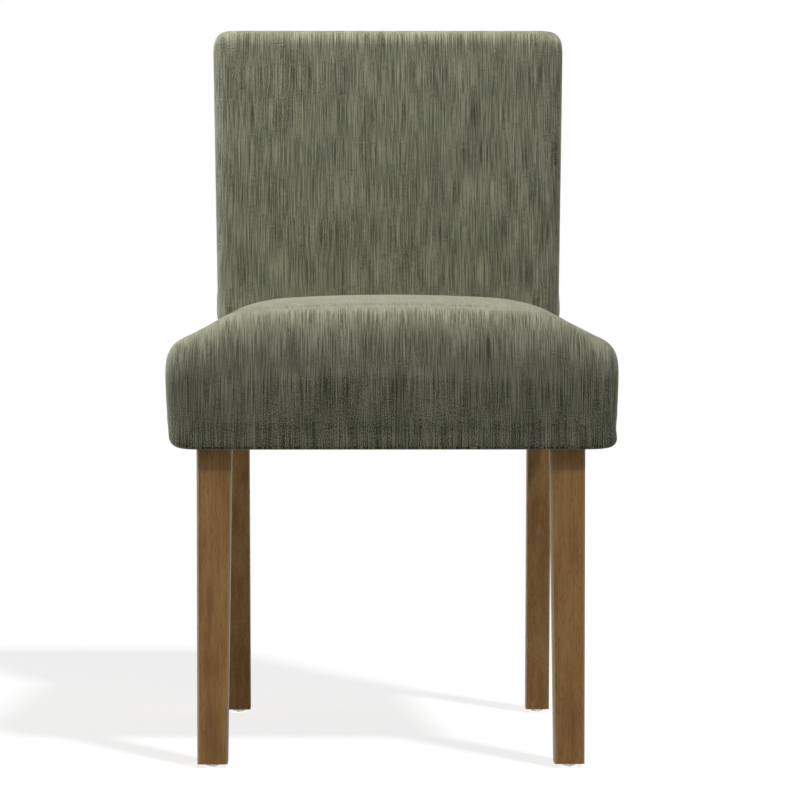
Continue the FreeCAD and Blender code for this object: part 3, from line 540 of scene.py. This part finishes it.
def sewSeam(piece, point, direction, inZone, width, depth):    # a cut opened to a drawn-in strip
    pickFaces(piece, inZone)
    bpy.ops.mesh.bisect(plane_co=point, plane_no=direction)
    bpy.ops.mesh.bevel(offset=width / 2, segments=2, affect="EDGES")
    leaveEdit()

    def onSeam(spot):
        return abs((spot - point).dot(direction)) < 0.05 * mm

    pickEdges(piece, lambda start, end: onSeam(start) and onSeam(end) and inZone(start, None))
    bpy.ops.transform.shrink_fatten(value=-depth)
    leaveEdit()


def finishCloth(piece, sizes, stoodFor):
    applyModifier(piece, "SUBSURF", levels=1, render_levels=1)
    applyModifier(piece, "SOLIDIFY", thickness=sizes["clothThickness"], offset=-1, use_rim=True)
    smoothShade(piece, 60)
    dress(piece, fabric)
    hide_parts(*stoodFor)
    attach(piece, "root")
    print(piece.name, "done,", len(piece.data.polygons), "faces")


def seatCushion():
    low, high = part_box("seat_cover")
    piece = blockShell("seat_cover_cloth", "seat_cover", seatCover,
                       lambda centre, normal: normal.z < -0.9 or normal.y > 0.9)

    def underneath(spot):
        return spot.z < low.z + seatCover["edgeHeight"]

    def behind(spot):
        return spot.y > high.y - seatCover["heldBehind"]

    turnIn(piece, underneath, seatCover["room"] + seatCover["tuckWidth"], 2, rearStays=True)
    drawOnto(piece, "seat_cover", seatCover["proud"])
    swell(piece, seatCover, lambda spot: spot.z < low.z + seatCover["heldBelow"] or behind(spot))
    easeCloth(piece, seatCover["slack"])
    for corner in piece.data.vertices:
        corner.co.x = corner.co.x * seatCover["widen"] + seatCover["sitsRight"]

    turnIn(piece, underneath, seatCover["hemWidth"], 2, rearStays=True)
    turnIn(piece, lambda spot: not underneath(spot) and behind(spot), seatCover["rearTurnIn"], 1)
    finishCloth(piece, seatCover, ["seat_cover", "seat_wadding", "seat_foam", "front_edge_foam",
                                   "left_edge_foam", "right_edge_foam"])


def backCushion():
    low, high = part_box("back_cover")
    piece = blockShell("back_cover_cloth", "back_cover", backCover, lambda centre, normal: normal.z < -0.9)
    drawOnto(piece, "back_cover", backCover["proud"])
    swell(piece, backCover, lambda spot: spot.z < low.z + backCover["heldBelow"])
    easeCloth(piece, backCover["slack"])
    for corner in piece.data.vertices:
        share = (corner.co.z - low.z) / (high.z - low.z)
        corner.co.x *= backCover["widenFoot"] + (backCover["widenTop"] - backCover["widenFoot"]) * share
        corner.co.z = low.z + (corner.co.z - low.z) * backCover["lower"]

    def onRear(centre, normal):
        return centre.y > backCover["rearFrom"] and (normal is None or normal.y > 0.5)

    panelSide = high.x - backCover["panelFromSide"]
    panelTop = Vector((0, 0, high.z * backCover["lower"] - backCover["panelFromTop"]))
    for side in (-1, 1):
        sewSeam(piece, Vector((side * panelSide, 0, 0)), Vector((1, 0, 0)), onRear,
                backCover["seamWidth"], backCover["seamDepth"])
    sewSeam(piece, panelTop, Vector((0, 0, 1)), lambda centre, normal: onRear(centre, normal)
            and abs(centre.x) < panelSide, backCover["seamWidth"], backCover["seamDepth"])
    turnIn(piece, lambda spot: spot.z < low.z + backCover["edgeHeight"], backCover["hemWidth"], 2)
    finishCloth(piece, backCover, ["back_cover", "back_wadding", "back_foam"])


# Dust sheet under the seat, notched round the legs and stapled to the rails, with a slight sag

dustSheet = {
    "cell": 15 * mm,
    "frontCorner": (202.0, -214.2),    # mm, where the sides start behind the front legs
    "rearCorner": (184.5, 173.5),
    "frontHalf": 172.4,                # half widths between the legs, mm
    "rearHalf": 164.9,
    "sag": 3.0 * mm,
    "flatSides": 26 * mm,              # the sheet lies flat on the rails as far in as this
    "flatEnds": 30 * mm,
    "thickness": 0.5 * mm,
    "flatArea": 0.1705,
    "stapleGap": 38,                   # mm between staples
    "stapleCrown": 10,
    "stapleWire": 0.7,
    "stapleInset": 7,
    "behindFrontLeg": 12,              # mm from the ends of a row to the legs
    "beforeRearLeg": 8,
    "besideLeg": 12,
    "stapleTilt": 9,                   # degrees either way, since a hand stapler never lands quite square
    "tiltPace": 7.3,
}


def dustCover():
    low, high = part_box("dust_cover")
    frontX, frontY = dustSheet["frontCorner"]
    rearX, rearY = dustSheet["rearCorner"]
    deselectAll()
    across = round((high.x - low.x) / dustSheet["cell"])
    along = round((high.y - low.y) / dustSheet["cell"])
    bpy.ops.mesh.primitive_grid_add(size=1, x_subdivisions=across, y_subdivisions=along,
                                    location=((low.x + high.x) / 2, (low.y + high.y) / 2, high.z))
    piece = bpy.context.object
    piece.name = "dust_cover_sheet"
    piece.scale = (high.x - low.x, high.y - low.y, 1)
    bpy.ops.object.transform_apply(location=True, rotation=True, scale=True)

    def cut(point, direction, trim=False):
        pickFaces(piece, lambda centre, normal: True)
        bpy.ops.mesh.bisect(plane_co=point, plane_no=direction, clear_outer=trim)
        leaveEdit()

    for side in (-1, 1):
        slope = Vector((side * (rearY - frontY), frontX - rearX, 0)).normalized()
        cut((side * frontX * mm, frontY * mm, high.z), slope, trim=True)
        cut((side * dustSheet["frontHalf"] * mm, 0, high.z), (1, 0, 0))
        cut((side * dustSheet["rearHalf"] * mm, 0, high.z), (1, 0, 0))
    for level in (frontY, rearY):
        cut((0, level * mm, high.z), (0, 1, 0))
    pickFaces(piece, lambda centre, normal:
              (centre.y < frontY * mm and abs(centre.x) > dustSheet["frontHalf"] * mm)
              or (centre.y > rearY * mm and abs(centre.x) > dustSheet["rearHalf"] * mm))
    bpy.ops.mesh.delete(type="FACE")
    leaveEdit()
    middle, half = (low + high) / 2, (high - low) / 2
    for corner in piece.data.vertices:
        inX = 1 - min(abs(corner.co.x - middle.x) / (half.x - dustSheet["flatSides"]), 1) ** 2
        inY = 1 - min(abs(corner.co.y - middle.y) / (half.y - dustSheet["flatEnds"]), 1) ** 2
        corner.co.z -= dustSheet["sag"] * inX * inY
    applyModifier(piece, "SOLIDIFY", thickness=dustSheet["thickness"], offset=-1, use_rim=True)
    smoothShade(piece, 50)
    dress(piece, nonwovenSheet())
    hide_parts("dust_cover")
    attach(piece, "root")
    print("dust sheet done")


def staples():    # only their crowns show: a short bevelled wire for each, in a row along each edge
    low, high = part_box("dust_cover")
    frontX, frontY = dustSheet["frontCorner"]
    rearX, rearY = dustSheet["rearCorner"]
    inset = dustSheet["stapleInset"]
    wire = dustSheet["stapleWire"] * mm
    crown = dustSheet["stapleCrown"] * mm
    sideFrom = frontY + dustSheet["behindFrontLeg"]
    sideTo = rearY - dustSheet["beforeRearLeg"]
    frontEnd = dustSheet["frontHalf"] - dustSheet["besideLeg"]
    rearEnd = dustSheet["rearHalf"] - dustSheet["besideLeg"]
    frontRow = low.y / mm + inset
    rearRow = high.y / mm - inset
    rows = [
        (Vector((-frontX + inset, sideFrom)), Vector((-rearX + inset, sideTo))),
        (Vector((frontX - inset, sideFrom)), Vector((rearX - inset, sideTo))),
        (Vector((-frontEnd, frontRow)), Vector((frontEnd, frontRow))),
        (Vector((-rearEnd, rearRow)), Vector((rearEnd, rearRow))),
    ]
    made = []
    for start, end in rows:
        run = end - start
        count = int(run.length / dustSheet["stapleGap"])
        for i in range(count + 1):
            spot = start + run * (i / count)
            tilt = math.radians(dustSheet["stapleTilt"] * math.sin(dustSheet["tiltPace"] * len(made)))
            centre = Vector((spot.x * mm, spot.y * mm, low.z))
            half = Vector((crown / 2, wire / 2, wire / 2))
            piece = addBlock("staple", centre - half, centre + half)
            pickFaces(piece, lambda middle, normal: normal.z > 0.9)
            bpy.ops.mesh.inset(thickness=0)    # a second rim, which the bevel spreads
            leaveEdit()
            makeActive(piece)
            bpy.ops.object.mode_set(mode="EDIT")
            bpy.ops.mesh.select_all(action="SELECT")
            bpy.ops.mesh.bevel(offset=wire * 0.25, segments=1, affect="EDGES")
            bpy.ops.transform.rotate(value=tilt + math.atan2(run.y, run.x), orient_axis="Z",
                                     center_override=centre)
            leaveEdit()
            made.append(piece)
    deselectAll()
    for piece in made:
        piece.select_set(True)
    bpy.context.view_layer.objects.active = made[0]
    bpy.ops.object.join()
    joined = bpy.context.object
    joined.name = "dust_cover_staples"
    dress(joined, zinc)
    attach(joined, "root")
    print("staples done,", len(made))


# Floor, light and camera

stageSizes = {
    "floorReach": 9.0,
    "whiteFrom": 1.3,       # the floor fades to pure white between these distances from the chair
    "whiteTo": 2.2,
    "bounce": 0.8,          # what the floor throws back onto the chair
    "cameraDiffuse": 1.0,
    "cameraGlow": 0.79,
    "fill": 0.07,           # what the room throws onto the chair
}


def whiteRays(tree):    # 1 for the rays that see the background itself, straight or in a mirror
    ray = addNode(tree, "ShaderNodeLightPath")
    return addNode(tree, "ShaderNodeMath", {
        0: ray.outputs["Is Camera Ray"], 1: ray.outputs["Is Glossy Ray"]}, operation="MAXIMUM").outputs[0]


def paleFloor():
    deselectAll()
    bpy.ops.mesh.primitive_plane_add(size=2 * stageSizes["floorReach"])
    floor = bpy.context.object
    floor.name = "floor"
    material = bpy.data.materials.new("paintedStudioFloor")
    material.use_nodes = True
    tree = material.node_tree
    tree.nodes.clear()
    place = addNode(tree, "ShaderNodeTexCoord")
    away = addNode(tree, "ShaderNodeVectorMath", {0: place.outputs["Object"]}, operation="LENGTH")
    far = addNode(tree, "ShaderNodeMapRange", {
        "Value": away.outputs["Value"], "From Min": stageSizes["whiteFrom"],
        "From Max": stageSizes["whiteTo"]}, interpolation_type="SMOOTHSTEP")
    bounce, grey = stageSizes["bounce"], stageSizes["cameraDiffuse"]
    plain = addNode(tree, "ShaderNodeBsdfDiffuse", {"Color": (bounce, bounce, bounce, 1)})
    shown = addNode(tree, "ShaderNodeBsdfDiffuse", {"Color": (grey, grey, grey, 1)})
    glow = addNode(tree, "ShaderNodeEmission", {"Strength": stageSizes["cameraGlow"]})
    white = addNode(tree, "ShaderNodeEmission", {"Strength": 1.0})
    near = addNode(tree, "ShaderNodeAddShader", {0: shown.outputs[0], 1: glow.outputs[0]})
    visible = addNode(tree, "ShaderNodeMixShader", {
        0: far.outputs[0], 1: near.outputs[0], 2: white.outputs[0]})
    both = addNode(tree, "ShaderNodeMixShader", {
        0: whiteRays(tree), 1: plain.outputs[0], 2: visible.outputs[0]})
    out = addNode(tree, "ShaderNodeOutputMaterial")
    tree.links.new(both.outputs[0], out.inputs["Surface"])
    floor.data.materials.append(material)
    return floor


def studioWorld():
    world = bpy.data.worlds.new("studio")
    bpy.context.scene.world = world
    world.use_nodes = True
    tree = world.node_tree
    tree.nodes.clear()
    fill = addNode(tree, "ShaderNodeBackground", {"Color": (1, 1, 1, 1), "Strength": stageSizes["fill"]})
    white = addNode(tree, "ShaderNodeBackground", {"Color": (1, 1, 1, 1), "Strength": 1.0})
    both = addNode(tree, "ShaderNodeMixShader", {
        0: whiteRays(tree), 1: fill.outputs[0], 2: white.outputs[0]})
    out = addNode(tree, "ShaderNodeOutputWorld")
    tree.links.new(both.outputs[0], out.inputs["Surface"])


softBoxes = [    # name, place, aim, width and height in metres, power in watts
    ("overhead", (0, 0.25, 2.7), (0, 0.05, 0.4), 1.6, 1.6, 60),
    ("overheadFront", (0, -1.1, 2.7), (0, 0, 0.5), 2.0, 1.6, 2),
    ("leftFront", (-2.2, -1.6, 1.9), (0, 0, 0.5), 1.2, 1.6, 12),
    ("leftStrip", (-1.7, 0.35, 1.1), (0, 0, 0.5), 0.5, 1.6, 24),
]

window = {
    "strength": 0.7,
    "angle": 6,
    "travel": (-0.183, 0.275, -0.349),    # the way its light goes
}


def chairOnly(floor):    # the soft boxes leave the floor out, so that it shows the window's shadow alone
    lit = bpy.data.collections.new("litBySoftBoxes")
    lit.objects.link(floor)
    lit.collection_objects[0].light_linking.link_state = "EXCLUDE"
    return lit


def softBox(name, location, target, width, height, power, lit):
    deselectAll()
    bpy.ops.object.light_add(type="AREA", location=location)
    lamp = bpy.context.object
    lamp.name = name
    lamp.data.shape = "RECTANGLE"
    lamp.data.size = width
    lamp.data.size_y = height
    lamp.data.energy = power
    lamp.light_linking.receiver_collection = lit
    lamp.rotation_euler = (Vector(target) - Vector(location)).to_track_quat("-Z", "Y").to_euler()


def lights(floor):
    lit = chairOnly(floor)
    for box in softBoxes:
        softBox(*box, lit)
    deselectAll()
    bpy.ops.object.light_add(type="SUN", location=(1, -1.6, 2))
    sun = bpy.context.object
    sun.name = "window"
    sun.data.energy = window["strength"]
    sun.data.angle = math.radians(window["angle"])
    sun.rotation_euler = Vector(window["travel"]).to_track_quat("-Z", "Y").to_euler()


viewpoint = {
    "location": (-0.033, -4.750, 0.640),
    "pitchDown": 3.03,
    "turnRight": 0.545,
    "lens": 186.9,
}


def camera():
    deselectAll()
    bpy.ops.object.camera_add(location=viewpoint["location"])
    eye = bpy.context.object
    eye.rotation_euler = (math.radians(90 - viewpoint["pitchDown"]), 0,
                          -math.radians(viewpoint["turnRight"]))
    eye.data.sensor_width = 36
    eye.data.lens = viewpoint["lens"]
    bpy.context.scene.camera = eye


camera()
floor = paleFloor()
studioWorld()
lights(floor)
print("stage set")

fabric = linenUpholstery()
zinc = platedSteel("zincPlatedSteel", "#d8d5c6", "#a9a699", 0.35)

seatCushion()
backCushion()
dustCover()
staples()

finishes = [    # the pieces that keep their own shape: name parts, finish, slot
    (("_leg", "_post"), solidWood(legWood), "leg_wood"),
    (("front_rail", "rear_rail", "crest_rail", "lower_back_rail", "_corner_block"),
     solidWood(railWood, "x"), "frame_wood"),
    (("_side_rail",), solidWood(railWood, "y"), "frame_wood"),
    (("_dowels",), solidWood(dowelWood), "dowel_wood"),
    (("back_board",), hardboard(), "fibreboard"),
    (("cross_strap", "back_strap"), elasticWebbing("Y"), "webbing"),
    (("long_strap",), elasticWebbing("X"), "webbing"),
    (("_screws",), zinc, "screw_steel"),
    (("_glide",), platedSteel("nickelPlatedSteel", "#d6d4cf", "#a5a39e", 0.28), "glide_metal"),
]
for parts, finish, slot in finishes:
    for name, piece in nodes.items():
        if any(part in name for part in parts):
            dress(piece, finish)
print("wood, board, webbing and metal finished")

bpy.context.scene.view_settings.view_transform = "Standard"
